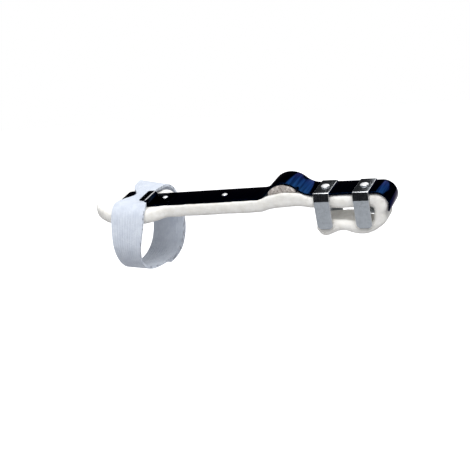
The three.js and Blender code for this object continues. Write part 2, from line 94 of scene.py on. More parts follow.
class SheetStrip:
    """A strip of sheet drawn in the XZ plane. Its leading edge stays selected in edit mode while it grows."""

    def __init__(self, name, x, z, heading, half):
        bpy.ops.object.select_all(action="DESELECT")
        bpy.ops.mesh.primitive_plane_add(size=1, location=(0, 0, 0))
        self.piece = bpy.context.object
        self.piece.name = self.piece.data.name = name
        self.x, self.z, self.heading, self.half = x, z, heading, half
        self.left = Vector((-math.sin(math.radians(heading)), 0, math.cos(math.radians(heading))))
        self.start = Vector((x, 0, z))
        self.folds = []
        mesh = self.piece.data
        first = self.along() * FIRST_STEP
        for vertex in mesh.vertices:
            vertex.select = vertex.co.x > 0
            side = Vector((0, math.copysign(half, vertex.co.y), 0))
            vertex.co = self.start + side + (first if vertex.select else Vector())
        for edge in mesh.edges:
            edge.select = all(mesh.vertices[i].select for i in edge.vertices)
        mesh.polygons[0].select = False
        self.x += first.x
        self.z += first.z
        bpy.ops.object.mode_set(mode="EDIT")
        bpy.ops.mesh.select_mode(type="EDGE")

    def along(self):
        return Vector((math.cos(math.radians(self.heading)), 0, math.sin(math.radians(self.heading))))

    def step(self, length, half=None):
        move = self.along() * length
        bpy.ops.mesh.extrude_region_move(TRANSFORM_OT_translate={"value": move})
        self.x += move.x
        self.z += move.z
        if half is not None:
            bpy.ops.transform.resize(value=(1, half / self.half, 1), center_override=(self.x, 0, self.z))
            self.half = half

    def straight(self, length):
        support = min(BEND_SUPPORT, length / 4)
        for part in (support, length - 2 * support, support):
            self.step(part)

    def bend(self, to, radius, fold=False):
        side = math.copysign(1, to - self.heading)
        turn = abs(to - self.heading)
        out = math.radians(self.heading + 90 * side)
        centre = Vector((self.x + radius * math.cos(out), 0, self.z + radius * math.sin(out)))
        bpy.ops.mesh.spin(
            steps=max(4, math.ceil(turn / BEND_STEP)), dupli=False, angle=math.radians(turn),
            center=centre, axis=(0, side, 0))
        middle = math.radians(self.heading + side * turn / 2 - 90 * side)
        if fold:
            self.folds.append(centre + Vector((math.cos(middle), 0, math.sin(middle))) * radius)
        self.heading = to
        back = math.radians(to - 90 * side)
        self.x = centre.x + radius * math.cos(back)
        self.z = centre.z + radius * math.sin(back)

    def corners(self, radius, opening, turn=0):
        """Rounds two corners over the next stretch: opening at the strip's start, closing at its end."""
        full = self.half + radius if opening else self.half
        places = [math.sin(math.radians(90 * k / CORNER_STEPS)) for k in range(CORNER_STEPS + 1)]
        if opening:
            places = [1 - place for place in reversed(places)]
        for before, now in zip(places, places[1:]):
            into = 1 - now if opening else now
            self.heading += turn * (now - before) / 2
            rounded = radius * math.sqrt(max(1 - into ** 2, LEAST_SHARE))
            self.step((now - before) * radius, full - radius + rounded)
            self.heading += turn * (now - before) / 2

    def close(self, thickness, place=Matrix(), rounding=STEEL_EDGE, highlight_from=1):
        """Gives the sheet its thickness below its drawn face, rounds its edges and marks folds for a painted
        highlight.

        What lies further from the strip's middle line than the distance given, in metres, is marked for the
        highlight too.
        """
        bpy.ops.mesh.select_all(action="SELECT")
        bpy.ops.mesh.remove_doubles(threshold=WELD)
        bpy.ops.mesh.normals_make_consistent(inside=False)
        bpy.ops.object.mode_set(mode="OBJECT")
        mesh = self.piece.data
        nearest = min(mesh.polygons, key=lambda face: (face.center - self.start).length)
        if nearest.normal.dot(self.left) < 0:
            mesh.flip_normals()
        solid = self.piece.modifiers.new("thickness", "SOLIDIFY")
        solid.thickness = thickness
        solid.offset = -1
        edges = self.piece.modifiers.new("edges", "BEVEL")
        edges.width = rounding
        edges.segments = 3
        edges.use_clamp_overlap = False
        edges.limit_method = "ANGLE"
        edges.angle_limit = SHARP_CORNER
        for modifier in ("thickness", "edges"):
            bpy.ops.object.modifier_apply(modifier=modifier)
        # Painted highlight: this mark gives folds and far edges a brighter metal colour
        highlight_share = mesh.attributes.new("fold_highlight", "FLOAT", "POINT")
        for index, vertex in enumerate(mesh.vertices):
            flat = Vector((vertex.co.x, 0, vertex.co.z))
            near = min(((flat - fold).length for fold in self.folds), default=1)
            highlight_share.data[index].value = max(abs(vertex.co.y) > highlight_from, 1 - near / FOLD_REACH, 0)
        mesh.transform(place)
        bpy.ops.object.shade_smooth_by_angle(angle=math.radians(35))
        return self.piece


blade_strip = SheetStrip("spring_blade", -END_REACH, SEAT_TOP + END_LIFT, 0, BLADE_WIDTH / 2 - BLADE_CORNER)
blade_strip.corners(BLADE_CORNER, opening=True)
blade_strip.straight(END_FLAT - BLADE_CORNER)
blade_strip.bend(-END_BEND, END_RADIUS)
end_drop = END_LIFT - 2 * END_RADIUS * (1 - math.cos(math.radians(END_BEND)))
blade_strip.straight(end_drop / math.sin(math.radians(END_BEND)))
blade_strip.bend(WRIST_SLOPE, END_RADIUS)
blade_strip.straight(WRIST_RUN)
blade_strip.bend(RAMP_BEND, RAMP_RADIUS)
blade_strip.straight(RAMP_RUN)
blade_strip.bend(-RAMP_BEND, ARCH_RADIUS)
blade_strip.bend(0, TAIL_RADIUS)
blade_strip.straight(FINGER_RUN)
blade_strip.bend(-CURL_BEND, CURL_RADIUS)
blade_strip.corners(CURL_CORNER, opening=False, turn=-CURL_END_BEND)
blade = blade_strip.close(BLADE_THICK)


def add_node(tree, kind, name=None, **values):
    made = tree.nodes.new(kind)
    made.label = name or ""
    for key, value in values.items():
        if hasattr(made, key):
            setattr(made, key, value)
        else:
            made.inputs[key.replace("_", " ")].default_value = value
    return made


def new_group(name, inputs, outputs):
    group = bpy.data.node_groups.new(name, "ShaderNodeTree")
    for title, kind, value in inputs:
        socket = group.interface.new_socket(title, in_out="INPUT", socket_type=kind)
        if value is not None:
            socket.default_value = value
    for title, kind in outputs:
        group.interface.new_socket(title, in_out="OUTPUT", socket_type=kind)
    return group, group.nodes.new("NodeGroupInput"), group.nodes.new("NodeGroupOutput")


def new_material(name, **values):
    made = bpy.data.materials.new(name)
    made.use_nodes = True
    shader = made.node_tree.nodes["Principled BSDF"]
    for key, value in values.items():
        shader.inputs[key.replace("_", " ")].default_value = value
    return made, made.node_tree, shader


def use_group(tree, group, **values):
    made = tree.nodes.new("ShaderNodeGroup")
    made.node_tree = group
    for key, value in values.items():
        made.inputs[key.replace("_", " ")].default_value = value
    return made


# Marks on handled metal: soft smudges that cloud the polish and fine rubbed lines along the strip
marks, marks_in, marks_out = new_group(
    "metal_marks",
    [("Vector", "NodeSocketVector", None), ("Smudge Size", "NodeSocketFloat", 140.0),
     ("Line Size", "NodeSocketFloat", 900.0), ("Streak Size", "NodeSocketFloat", 620.0)],
    [("Smudge", "NodeSocketFloat"), ("Streak", "NodeSocketFloat"), ("Height", "NodeSocketFloat")])
smudge = add_node(marks, "ShaderNodeTexNoise", Detail=4.0, Roughness=0.6)
squeeze = add_node(marks, "ShaderNodeMapping", Scale=(0.06, 1, 1))
lines = add_node(marks, "ShaderNodeTexNoise", Detail=2.0, Roughness=0.7)
cross = add_node(marks, "ShaderNodeMapping", Scale=(1, 0.03, 0.6))
streaks = add_node(marks, "ShaderNodeTexNoise", Detail=3.0, Roughness=0.6)
marks.links.new(marks_in.outputs["Vector"], cross.inputs["Vector"])
marks.links.new(cross.outputs["Vector"], streaks.inputs["Vector"])
marks.links.new(marks_in.outputs["Streak Size"], streaks.inputs["Scale"])
marks.links.new(streaks.outputs["Fac"], marks_out.inputs["Streak"])
height = add_node(marks, "ShaderNodeMath", operation="MULTIPLY_ADD")
height.inputs[1].default_value = 0.5
marks.links.new(marks_in.outputs["Vector"], smudge.inputs["Vector"])
marks.links.new(marks_in.outputs["Smudge Size"], smudge.inputs["Scale"])
marks.links.new(marks_in.outputs["Vector"], squeeze.inputs["Vector"])
marks.links.new(squeeze.outputs["Vector"], lines.inputs["Vector"])
marks.links.new(marks_in.outputs["Line Size"], lines.inputs["Scale"])
marks.links.new(lines.outputs["Fac"], height.inputs[0])
marks.links.new(smudge.outputs["Fac"], height.inputs[2])
marks.links.new(smudge.outputs["Fac"], marks_out.inputs["Smudge"])
marks.links.new(height.outputs["Value"], marks_out.inputs["Height"])


def metal_material(
        name, base, cloud, highlight_colour, rough_from, rough_to, bump, smudge_size=140.0, tint=(1, 1, 1, 1), streak=0.0,
        edge=0.0, edge_axis="Y", edge_from=0.5):
    """Polished metal: cloudy, unevenly polished, cross streaked, with a painted highlight on marked folds and
    edges and painted shade on faces that look along one axis.
    """
    made, tree, shader = new_material(name, Metallic=1.0, Specular_Tint=tint)
    place = add_node(tree, "ShaderNodeTexCoord")
    group = use_group(tree, marks, Smudge_Size=smudge_size)
    colour = add_node(tree, "ShaderNodeMix", data_type="RGBA")
    colour.inputs["A"].default_value = base
    colour.inputs["B"].default_value = cloud
    # Painted highlight: marked folds and edges take the brighter highlight colour
    highlight_share = add_node(tree, "ShaderNodeAttribute", attribute_name="fold_highlight")
    with_highlight = add_node(tree, "ShaderNodeMix", data_type="RGBA")
    with_highlight.inputs["B"].default_value = highlight_colour
    streaky = add_node(
        tree, "ShaderNodeMapRange", From_Min=0.4, From_Max=0.62, To_Min=1 - streak, To_Max=1 + streak)
    # Painted shade: faces whose normal lies along edge_axis are darkened, by up to the share edge
    across = add_node(tree, "ShaderNodeSeparateXYZ")
    off_edge = add_node(tree, "ShaderNodeMath", operation="ABSOLUTE")
    cut = add_node(tree, "ShaderNodeMapRange", From_Min=edge_from, From_Max=0.95, To_Max=1 - edge)
    cut.inputs["To Min"].default_value = 1.0
    shade = add_node(tree, "ShaderNodeMath", operation="MULTIPLY")
    shaded = add_node(tree, "ShaderNodeVectorMath", operation="SCALE")
    polish = add_node(
        tree, "ShaderNodeMapRange", From_Min=0.3, From_Max=0.7, To_Min=rough_from, To_Max=rough_to)
    rubbed = add_node(tree, "ShaderNodeMath", operation="MULTIPLY_ADD")
    rubbed.inputs[1].default_value = 0.3
    relief = add_node(tree, "ShaderNodeBump", Strength=bump, Distance=0.0002)
    tree.links.new(highlight_share.outputs["Fac"], rubbed.inputs[0])
    tree.links.new(polish.outputs["Result"], rubbed.inputs[2])
    tree.links.new(place.outputs["Object"], group.inputs["Vector"])
    tree.links.new(group.outputs["Smudge"], colour.inputs["Factor"])
    tree.links.new(colour.outputs["Result"], with_highlight.inputs["A"])
    tree.links.new(highlight_share.outputs["Fac"], with_highlight.inputs["Factor"])
    tree.links.new(group.outputs["Streak"], streaky.inputs["Value"])
    tree.links.new(place.outputs["Normal"], across.inputs["Vector"])
    tree.links.new(across.outputs[edge_axis], off_edge.inputs[0])
    tree.links.new(off_edge.outputs["Value"], cut.inputs["Value"])
    tree.links.new(streaky.outputs["Result"], shade.inputs[0])
    tree.links.new(cut.outputs["Result"], shade.inputs[1])
    tree.links.new(with_highlight.outputs["Result"], shaded.inputs["Vector"])
    tree.links.new(shade.outputs["Value"], shaded.inputs["Scale"])
    tree.links.new(shaded.outputs["Vector"], shader.inputs["Base Color"])
    tree.links.new(group.outputs["Smudge"], polish.inputs["Value"])
    tree.links.new(rubbed.outputs["Value"], shader.inputs["Roughness"])
    tree.links.new(group.outputs["Height"], relief.inputs["Height"])
    tree.links.new(relief.outputs["Normal"], shader.inputs["Normal"])
    return made


# Painted shade: the blade's side faces, looking across it, are darkened almost to black
blued_steel = metal_material(
    "blued_spring_steel", base=(0.005, 0.026, 0.082, 1), cloud=(0.004, 0.018, 0.056, 1),
    highlight_colour=(0.62, 0.64, 0.67, 1), rough_from=0.07, rough_to=0.13, bump=0.03, tint=(0.50, 0.46, 0.50, 1),
    streak=0.45, edge=0.93)
blade.data.materials.append(blued_steel)
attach(blade, "root")
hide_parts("blade")

# Felt lining: one long strip of dense white wool felt, about 8 mm thick, with a wide round end below the
# strap. It follows the blade's underside, folds round the curl and comes back below the gap. Its cut edges
# are soft and slightly fuzzy, so the solid is remeshed finely, smoothed and roughened twice.
FELT_VOXEL = 0.75 * MM


def soft_copy(node, name, voxel, smooth_steps, lumps, fuzz):
    """A fine soft copy of a CAD solid. lumps and fuzz are (size, depth) of its two unevennesses."""
    bpy.ops.object.select_all(action="DESELECT")
    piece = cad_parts[node].copy()
    piece.data = piece.data.copy()
    piece.name = piece.data.name = name
    piece.parent = None
    for key in list(piece.keys()):
        del piece[key]
    bpy.context.scene.collection.objects.link(piece)
    bpy.context.view_layer.objects.active = piece
    piece.select_set(True)
    piece.data.materials.clear()
    bpy.ops.object.mode_set(mode="EDIT")
    bpy.ops.mesh.select_all(action="SELECT")
    bpy.ops.mesh.remove_doubles(threshold=WELD)
    bpy.ops.object.mode_set(mode="OBJECT")
    remesh = piece.modifiers.new("remesh", "REMESH")
    remesh.mode = "VOXEL"
    remesh.voxel_size = voxel
    smooth = piece.modifiers.new("smooth", "SMOOTH")
    smooth.factor = 0.5
    smooth.iterations = smooth_steps
    for label, (size, depth) in (("lumps", lumps), ("fuzz", fuzz)):
        cloud = bpy.data.textures.new(name + "_" + label, "CLOUDS")
        cloud.noise_scale = size
        cloud.noise_depth = 2
        push = piece.modifiers.new(label, "DISPLACE")
        push.texture = cloud
        push.texture_coords = "LOCAL"
        push.mid_level = 0.5
        push.strength = depth
    for modifier in [m.name for m in piece.modifiers]:
        bpy.ops.object.modifier_apply(modifier=modifier)
    bpy.ops.object.shade_smooth()
    return piece


# Felt grain: cloudy matted wool with short crossing fibres
grain, grain_in, grain_out = new_group(
    "felt_grain",
    [("Vector", "NodeSocketVector", None), ("Fibre Size", "NodeSocketFloat", 1500.0),
     ("Cloud Size", "NodeSocketFloat", 260.0)],
    [("Cloud", "NodeSocketFloat"), ("Fibre", "NodeSocketFloat"), ("Height", "NodeSocketFloat")])
felt_cloud = add_node(grain, "ShaderNodeTexNoise", Detail=5.0, Roughness=0.65)
felt_fibre = add_node(grain, "ShaderNodeTexNoise", Detail=3.0, Roughness=0.8, Distortion=1.6)
felt_height = add_node(grain, "ShaderNodeMath", operation="MULTIPLY_ADD")
felt_height.inputs[1].default_value = 0.8
grain.links.new(grain_in.outputs["Vector"], felt_cloud.inputs["Vector"])
grain.links.new(grain_in.outputs["Cloud Size"], felt_cloud.inputs["Scale"])
grain.links.new(grain_in.outputs["Vector"], felt_fibre.inputs["Vector"])
grain.links.new(grain_in.outputs["Fibre Size"], felt_fibre.inputs["Scale"])
grain.links.new(felt_fibre.outputs["Fac"], felt_height.inputs[0])
grain.links.new(felt_cloud.outputs["Fac"], felt_height.inputs[2])
grain.links.new(felt_cloud.outputs["Fac"], grain_out.inputs["Cloud"])
grain.links.new(felt_fibre.outputs["Fac"], grain_out.inputs["Fibre"])
grain.links.new(felt_height.outputs["Value"], grain_out.inputs["Height"])


def felt_material(name, light, dark, speck, speck_share, bump, cloud_size=260.0):
    """Matted wool: cloudy between two tones, with single darker fibres, and rough all over."""
    made, tree, shader = new_material(name, Roughness=0.95, Sheen_Weight=0.25, Sheen_Roughness=0.6)
    shader.inputs["Specular IOR Level"].default_value = 0.15
    place = add_node(tree, "ShaderNodeTexCoord")
    group = use_group(tree, grain, Cloud_Size=cloud_size)
    spread = add_node(tree, "ShaderNodeMapRange", From_Min=0.35, From_Max=0.65)
    tone = add_node(tree, "ShaderNodeMix", data_type="RGBA")
    tone.inputs["A"].default_value = light
    tone.inputs["B"].default_value = dark
    specks = add_node(tree, "ShaderNodeMapRange", From_Min=0.62, From_Max=0.75, To_Max=speck_share)
    colour = add_node(tree, "ShaderNodeMix", data_type="RGBA")
    colour.inputs["B"].default_value = speck
    relief = add_node(tree, "ShaderNodeBump", Strength=bump, Distance=0.0006)
    tree.links.new(place.outputs["Object"], group.inputs["Vector"])
    tree.links.new(group.outputs["Cloud"], spread.inputs["Value"])
    tree.links.new(spread.outputs["Result"], tone.inputs["Factor"])
    tree.links.new(group.outputs["Fibre"], specks.inputs["Value"])
    tree.links.new(tone.outputs["Result"], colour.inputs["A"])
    tree.links.new(specks.outputs["Result"], colour.inputs["Factor"])
    tree.links.new(colour.outputs["Result"], shader.inputs["Base Color"])
    tree.links.new(group.outputs["Height"], relief.inputs["Height"])
    tree.links.new(relief.outputs["Normal"], shader.inputs["Normal"])
    return made


felt = soft_copy(
    "felt_lining", "felt_pad", FELT_VOXEL, smooth_steps=6, lumps=(7 * MM, 0.5 * MM),
    fuzz=(1.1 * MM, 0.26 * MM))
felt.data.materials.append(felt_material(
    "white_wool_felt", light=(0.94, 0.93, 0.90, 1), dark=(0.85, 0.83, 0.78, 1),
    speck=(0.62, 0.58, 0.52, 1), speck_share=0.45, bump=0.9))
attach(felt, "root")
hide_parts("felt_lining")

# Knuckle pad: a block of felt, cut to fill the arch of the blade and held there between the steel and the
# lining. Its grey-brown colour, far darker than the lining's, is painted shade for the hollow under the arch;
# its cloudy mottle and dark specks are felt grain. Pressed by the steel, it bulges a little past it on both
# sides, with soft fuzzy edges.
PAD_VOXEL = 0.45 * MM
PAD_SPREAD = 1.13

pad = soft_copy(
    "knuckle_pad", "knuckle_cushion", PAD_VOXEL, smooth_steps=4, lumps=(4 * MM, 0.35 * MM),
    fuzz=(0.8 * MM, 0.2 * MM))
pad.data.transform(Matrix.Diagonal((1, PAD_SPREAD, 1, 1)))
# Painted shade: the grey-brown tone, far darker than the lining, stands for the shaded hollow under the arch
pad.data.materials.append(felt_material(
    "grey_felt_painted_shade", light=(0.76, 0.705, 0.655, 1), dark=(0.19, 0.155, 0.135, 1),
    speck=(0.08, 0.06, 0.05, 1), speck_share=0.8, bump=1.0, cloud_size=820.0))
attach(pad, "root")
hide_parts("knuckle_pad")

# Finger bands: two clips of bright spring steel, 10 mm wide and 0.6 mm thick, folded over the blade. Each leg
# leaves the fold leaning out a little, turns straight down beside the felt and ends in rounded corners. Folds
# and long edges get a brighter colour, a painted highlight; the narrow faces at the bands' sides are
# darkened, painted shade.
BAND_WIDTH = 10 * MM
BAND_THICK = 0.6 * MM
BAND_EDGE = 0.28 * MM
BAND_DROP = 0.55 * MM
BAND_LEG = 23.5 * MM
BAND_SPREAD = 13
BAND_SHOULDER = 4.7 * MM
SHOULDER_RADIUS = 1 * MM
BAND_FOLD = 0.85 * MM
BAND_TIP = 3.2 * MM
BAND_HALF = 11.98 * MM
# Past this distance from a band's middle line, its long edges get the painted highlight
BAND_HIGHLIGHT_FROM = BAND_WIDTH / 2 - BAND_EDGE * 0.8

# Painted highlight on folds and long edges; painted shade on the narrow side faces
bright_steel = metal_material(
    "bright_spring_steel", base=(0.49, 0.525, 0.56, 1), cloud=(0.36, 0.39, 0.42, 1),
    highlight_colour=(0.80, 0.81, 0.83, 1), rough_from=0.12, rough_to=0.26, bump=0.30, smudge_size=620.0,
    edge=0.8, edge_axis="X", edge_from=0.9)
lean = math.radians(BAND_SPREAD)
fold_rise = BAND_FOLD * (1 - math.sin(lean))
fold_run = BAND_FOLD * math.cos(lean)
shoulder_rise = SHOULDER_RADIUS * math.sin(lean) + BAND_SHOULDER * math.cos(lean)
shoulder_run = SHOULDER_RADIUS * (1 - math.cos(lean)) + BAND_SHOULDER * math.sin(lean)
straight_leg = BAND_LEG - BAND_TIP - shoulder_rise - fold_rise
for number in (1, 2):
    low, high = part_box(f"finger_band_{number}")
    band_strip = SheetStrip(f"steel_band_{number}", -BAND_HALF, -BAND_LEG, 90, BAND_WIDTH / 2 - BAND_TIP)
    band_strip.corners(BAND_TIP, opening=True)
    band_strip.straight(straight_leg)
    band_strip.bend(90 - BAND_SPREAD, SHOULDER_RADIUS)
    band_strip.straight(BAND_SHOULDER)
    band_strip.bend(0, BAND_FOLD, fold=True)
    band_strip.straight(2 * (BAND_HALF - shoulder_run - fold_run))
    band_strip.bend(BAND_SPREAD - 90, BAND_FOLD, fold=True)
    band_strip.straight(BAND_SHOULDER)
    band_strip.bend(-90, SHOULDER_RADIUS)
    band_strip.straight(straight_leg)
    band_strip.corners(BAND_TIP, opening=False)
    on_blade = Matrix.Translation(((low.x + high.x) / 2, 0, high.z - BAND_DROP))
    turned = Matrix.Rotation(-math.pi / 2, 4, "Z")
    band = band_strip.close(BAND_THICK, on_blade @ turned, BAND_EDGE, highlight_from=BAND_HIGHLIGHT_FROM)
    band.data.materials.append(bright_steel)
    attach(band, "root")
    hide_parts(f"finger_band_{number}")

# Rivets: polished steel domes, each turned in one piece with its short shank. Two large ones hold the finger
# bands, a small one holds the strap keeper and another sits on the blade. They are peened flush below, where
# the felt hides them.
BAND_DOME = 1.1 * MM
SMALL_DOME = 0.8 * MM
RIVET_SEAT = 0.2 * MM
RIVET_RIM = 0.15 * MM
RIVET_CUT = 0.02 * MM
SHANK_INSET = 0.6

rivet_steel = metal_material(
    "polished_rivet_steel", base=(0.93, 0.94, 0.95, 1), cloud=(0.80, 0.81, 0.83, 1),
    highlight_colour=(0.9, 0.9, 0.9, 1), rough_from=0.24, rough_to=0.34, bump=0.05, smudge_size=700.0)
rivet_steel.node_tree.nodes["Principled BSDF"].inputs["Metallic"].default_value = 0.45
for node, name, dome, drop in (
        ("band_rivet_1", "band_stud_1", BAND_DOME, BAND_DROP + RIVET_SEAT),
        ("band_rivet_2", "band_stud_2", BAND_DOME, BAND_DROP + RIVET_SEAT),
        ("keeper_rivet", "keeper_stud", SMALL_DOME, BAND_DROP + RIVET_SEAT),
        ("blade_rivet", "blade_stud", SMALL_DOME, RIVET_SEAT)):
    low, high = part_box(node)
    radius = (high.y - low.y) / 2
    foot = high.z - drop - dome
    middle = (low.x + high.x) / 2
    bpy.ops.object.select_all(action="DESELECT")
    bpy.ops.mesh.primitive_uv_sphere_add(
        segments=48, ring_count=24, radius=radius, location=(middle, 0, foot))
    stud = bpy.context.object
    stud.name = stud.data.name = name
    stud.scale = (1, 1, dome / radius)
    bpy.ops.object.transform_apply(location=True, rotation=True, scale=True)
    bpy.ops.object.mode_set(mode="EDIT")
    bpy.ops.mesh.select_all(action="SELECT")
    bpy.ops.mesh.bisect(
        plane_co=(middle, 0, foot + RIVET_CUT), plane_no=(0, 0, -1), use_fill=True, clear_outer=True)
    bpy.ops.mesh.inset(thickness=radius * SHANK_INSET, depth=0)
    bpy.ops.mesh.extrude_region_move(TRANSFORM_OT_translate={"value": (0, 0, low.z - foot)})
    bpy.ops.object.mode_set(mode="OBJECT")
    rim = stud.modifiers.new("rim", "BEVEL")
    rim.width = RIVET_RIM
    rim.segments = 3
    rim.limit_method = "ANGLE"
    rim.angle_limit = SHARP_CORNER
    bpy.ops.object.modifier_apply(modifier="rim")
    bpy.ops.object.shade_smooth_by_angle(angle=math.radians(40))
    stud.data.materials.append(rivet_steel)
    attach(stud, "root")
    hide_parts(node)

# Strap keeper: a short clip of the same blued steel, 0.6 mm thick, riveted beside the strap. Its foot lies on
# the blade, a riser lifts it over the strap's edge and a short lip reaches back over it. Its upper fold gets
# a brighter colour, a painted highlight, and its side faces are darkened by half, painted shade.
KEEPER_FOLD = 1.1 * MM
KEEPER_RISE = 2.3 * MM
RISER_BEND = 52
LIP_CORNER = 1 * MM
LIP_RUN = 3.2 * MM
FOOT_CORNER = 2 * MM

low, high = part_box("strap_keeper")
keeper_strip = SheetStrip("strap_clip", low.x, high.z - BAND_DROP, 0, high.y - LIP_CORNER)
keeper_strip.corners(LIP_CORNER, opening=True)
keeper_strip.straight(LIP_RUN)
keeper_strip.bend(-RISER_BEND, KEEPER_FOLD, fold=True)
riser_drop = KEEPER_RISE - 2 * KEEPER_FOLD * (1 - math.cos(math.radians(RISER_BEND)))
keeper_strip.straight(riser_drop / math.sin(math.radians(RISER_BEND)))
keeper_strip.bend(WRIST_SLOPE, KEEPER_FOLD)
keeper_strip.straight(high.x - FOOT_CORNER - keeper_strip.x)
keeper_strip.corners(FOOT_CORNER, opening=False)
keeper = keeper_strip.close(BAND_THICK)
# Painted highlight: brighter colour on the upper fold. Painted shade: side faces darkened by half
keeper.data.materials.append(metal_material(
    "blacked_clip_steel", base=(0.003, 0.005, 0.010, 1), cloud=(0.008, 0.010, 0.014, 1),
    highlight_colour=(0.90, 0.91, 0.93, 1), rough_from=0.12, rough_to=0.25, bump=0.05, tint=(0.4, 0.4, 0.4, 1), edge=0.5))
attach(keeper, "root")
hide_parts("strap_keeper")

# Wrist strap: white brushed webbing, 23 mm wide and 1.5 mm thick, woven flat with ribs along it and a firm
# edge each side. Its hook and loop faces close it on itself at the bottom. It narrows where it crosses the
# blade, its edge tucked below the keeper's lip, and spreads out again beside it.
STRAP_WIDTH = 23 * MM
STRAP_THICK = 1.5 * MM
STRAP_GAP = 0.3 * MM
STRAP_X = 3.5 * MM
LOOP_WIDTH = 58 * MM
LOOP_DEPTH = 35 * MM
LOOP_MIDDLE = 3 * MM
STRAP_SEAT = SEAT_TOP + STRAP_GAP + STRAP_THICK / 2
STRAP_START = 0.53
STRAP_LAP = 0.17
LAP_RISE_FROM = 2.2
LAP_RISE_TO = 0.2
RIB_PITCH = 1.9 * MM
RIB_DEPTH = 0.05 * MM
SELVEDGE = 1.6 * MM
SELVEDGE_FADE = 1.4
SOFT_EDGE = 0.5 * MM
PILE_SIZE = 1.1 * MM
PILE_DEPTH = 0.12 * MM
STRAP_ALONG = 420
STRAP_ACROSS = 60
STEP_REACH = 0.05

# Each row is a place round the loop, with the back edge and then the fore edge, toward the bands: along the
# blade as a share of the strap's width, across as a share of the loop's width, and height as a share of the
# strap's seat where it is above the origin and of the loop's depth where it is below.
STRAP_ROWS = [
    (-0.15, -0.03, 1.185, 0.27, -0.03, 1.020),
    (-0.34, -0.19, 1.256, 0.27, -0.19, 1.027),
    (-0.46, -0.26, 1.238, 0.42, -0.25, 1.063),
    (-0.50, -0.33, 1.156, 0.49, -0.33, 1.063),
    (-0.50, -0.41, 0.808, 0.50, -0.417, 0.754),
    (-0.50, -0.47, 0.180, 0.47, -0.475, 0.108),
    (-0.50, -0.515, -0.180, 0.39, -0.52, -0.200),
    (-0.50, -0.52, -0.400, 0.31, -0.535, -0.420),
    (-0.50, -0.46, -0.650, 0.24, -0.49, -0.680),
    (-0.50, -0.32, -0.880, 0.26, -0.34, -0.910),
    (-0.50, -0.10, -1.020, 0.34, -0.10, -1.040),
    (-0.50, 0.13, -1.040, 0.43, 0.13, -1.060),
    (-0.50, 0.34, -0.930, 0.49, 0.33, -0.950),
    (-0.50, 0.48, -0.700, 0.50, 0.47, -0.720),
    (-0.50, 0.54, -0.400, 0.50, 0.52, -0.420),
    (-0.50, 0.54, -0.090, 0.49, 0.50, -0.110),
    (-0.51, 0.51, 0.610, 0.48, 0.42, 0.538),
    (-0.52, 0.41, 1.167, 0.45, 0.31, 1.023),
    (-0.49, 0.26, 1.249, 0.37, 0.20, 1.095),
    (-0.40, 0.14, 1.271, 0.27, 0.12, 1.048),
]


def strap_height(share):
    return share * (STRAP_SEAT if share > 0 else LOOP_DEPTH)


strap_edges = [
    [Vector((STRAP_X + along * STRAP_WIDTH, LOOP_MIDDLE + across * LOOP_WIDTH, strap_height(up)))
     for along, across, up in (row[:3], row[3:])]
    for row in STRAP_ROWS]


def edge_point(place, side):
    """A point of the strap's back edge (side 0) or fore edge (side 1), on a smooth curve through the rows."""
    count = len(strap_edges)
    whole = math.floor(place)
    t = place - whole
    a, b, c, d = (strap_edges[(whole + k) % count][side] for k in (-1, 0, 1, 2))
    slope, next_slope = (c - a) / 2, (d - b) / 2
    rise = b - c
    return ((2 * rise + slope + next_slope) * t - (3 * rise + 2 * slope + next_slope)) * t * t + slope * t + b


def smooth_step(value, low_end, high_end):
    t = min(max((value - low_end) / (high_end - low_end), 0), 1)
    return t * t * (3 - 2 * t)


rows = len(strap_edges)
total = rows * (1 + STRAP_LAP)
bpy.ops.object.select_all(action="DESELECT")
bpy.ops.mesh.primitive_grid_add(
    x_subdivisions=STRAP_ACROSS, y_subdivisions=STRAP_ALONG, size=1, calc_uvs=True)
strap = bpy.context.object
strap.name = strap.data.name = "webbing_strap"
sections = {}
for vertex in strap.data.vertices:
    share_across, share_along = vertex.co.x + 0.5, vertex.co.y + 0.5
    travelled = round(total * share_along, 6)
    if travelled not in sections:
        place = rows * STRAP_START + travelled
        ends = [edge_point(place, side) for side in (0, 1)]
        steps = [
            edge_point(place + STEP_REACH, side) - edge_point(place - STEP_REACH, side) for side in (0, 1)]
        lift = (STRAP_THICK + STRAP_GAP) * smooth_step(travelled, rows - LAP_RISE_FROM, rows - LAP_RISE_TO)
        sections[travelled] = (ends, steps, lift)
    ends, steps, lift = sections[travelled]
    point = ends[0].lerp(ends[1], share_across)
    normal = (ends[1] - ends[0]).cross(steps[0].lerp(steps[1], share_across)).normalized()
    from_middle = (share_across - 0.5) * STRAP_WIDTH
    from_edge = STRAP_WIDTH / 2 - abs(from_middle)
    rib = RIB_DEPTH * math.cos(2 * math.pi * from_middle / RIB_PITCH)
    rib *= smooth_step(from_edge, SELVEDGE, SELVEDGE * SELVEDGE_FADE)
    vertex.co = point + normal * (lift + rib)
bpy.ops.object.mode_set(mode="EDIT")
bpy.ops.mesh.select_all(action="SELECT")
bpy.ops.mesh.normals_make_consistent(inside=False)
bpy.ops.object.mode_set(mode="OBJECT")
body = strap.modifiers.new("thickness", "SOLIDIFY")
body.thickness = STRAP_THICK
body.offset = 0
soft_edge = strap.modifiers.new("soft_edge", "BEVEL")
soft_edge.width = SOFT_EDGE
soft_edge.segments = 3
soft_edge.limit_method = "ANGLE"
soft_edge.angle_limit = SHARP_CORNER
pile = bpy.data.textures.new("brushed_pile", "CLOUDS")
pile.noise_scale = PILE_SIZE
pile.noise_depth = 2
brush = strap.modifiers.new("brushed", "DISPLACE")
brush.texture = pile
brush.texture_coords = "LOCAL"
brush.strength = PILE_DEPTH
for modifier in ("thickness", "soft_edge", "brushed"):
    bpy.ops.object.modifier_apply(modifier=modifier)
bpy.ops.object.shade_smooth()

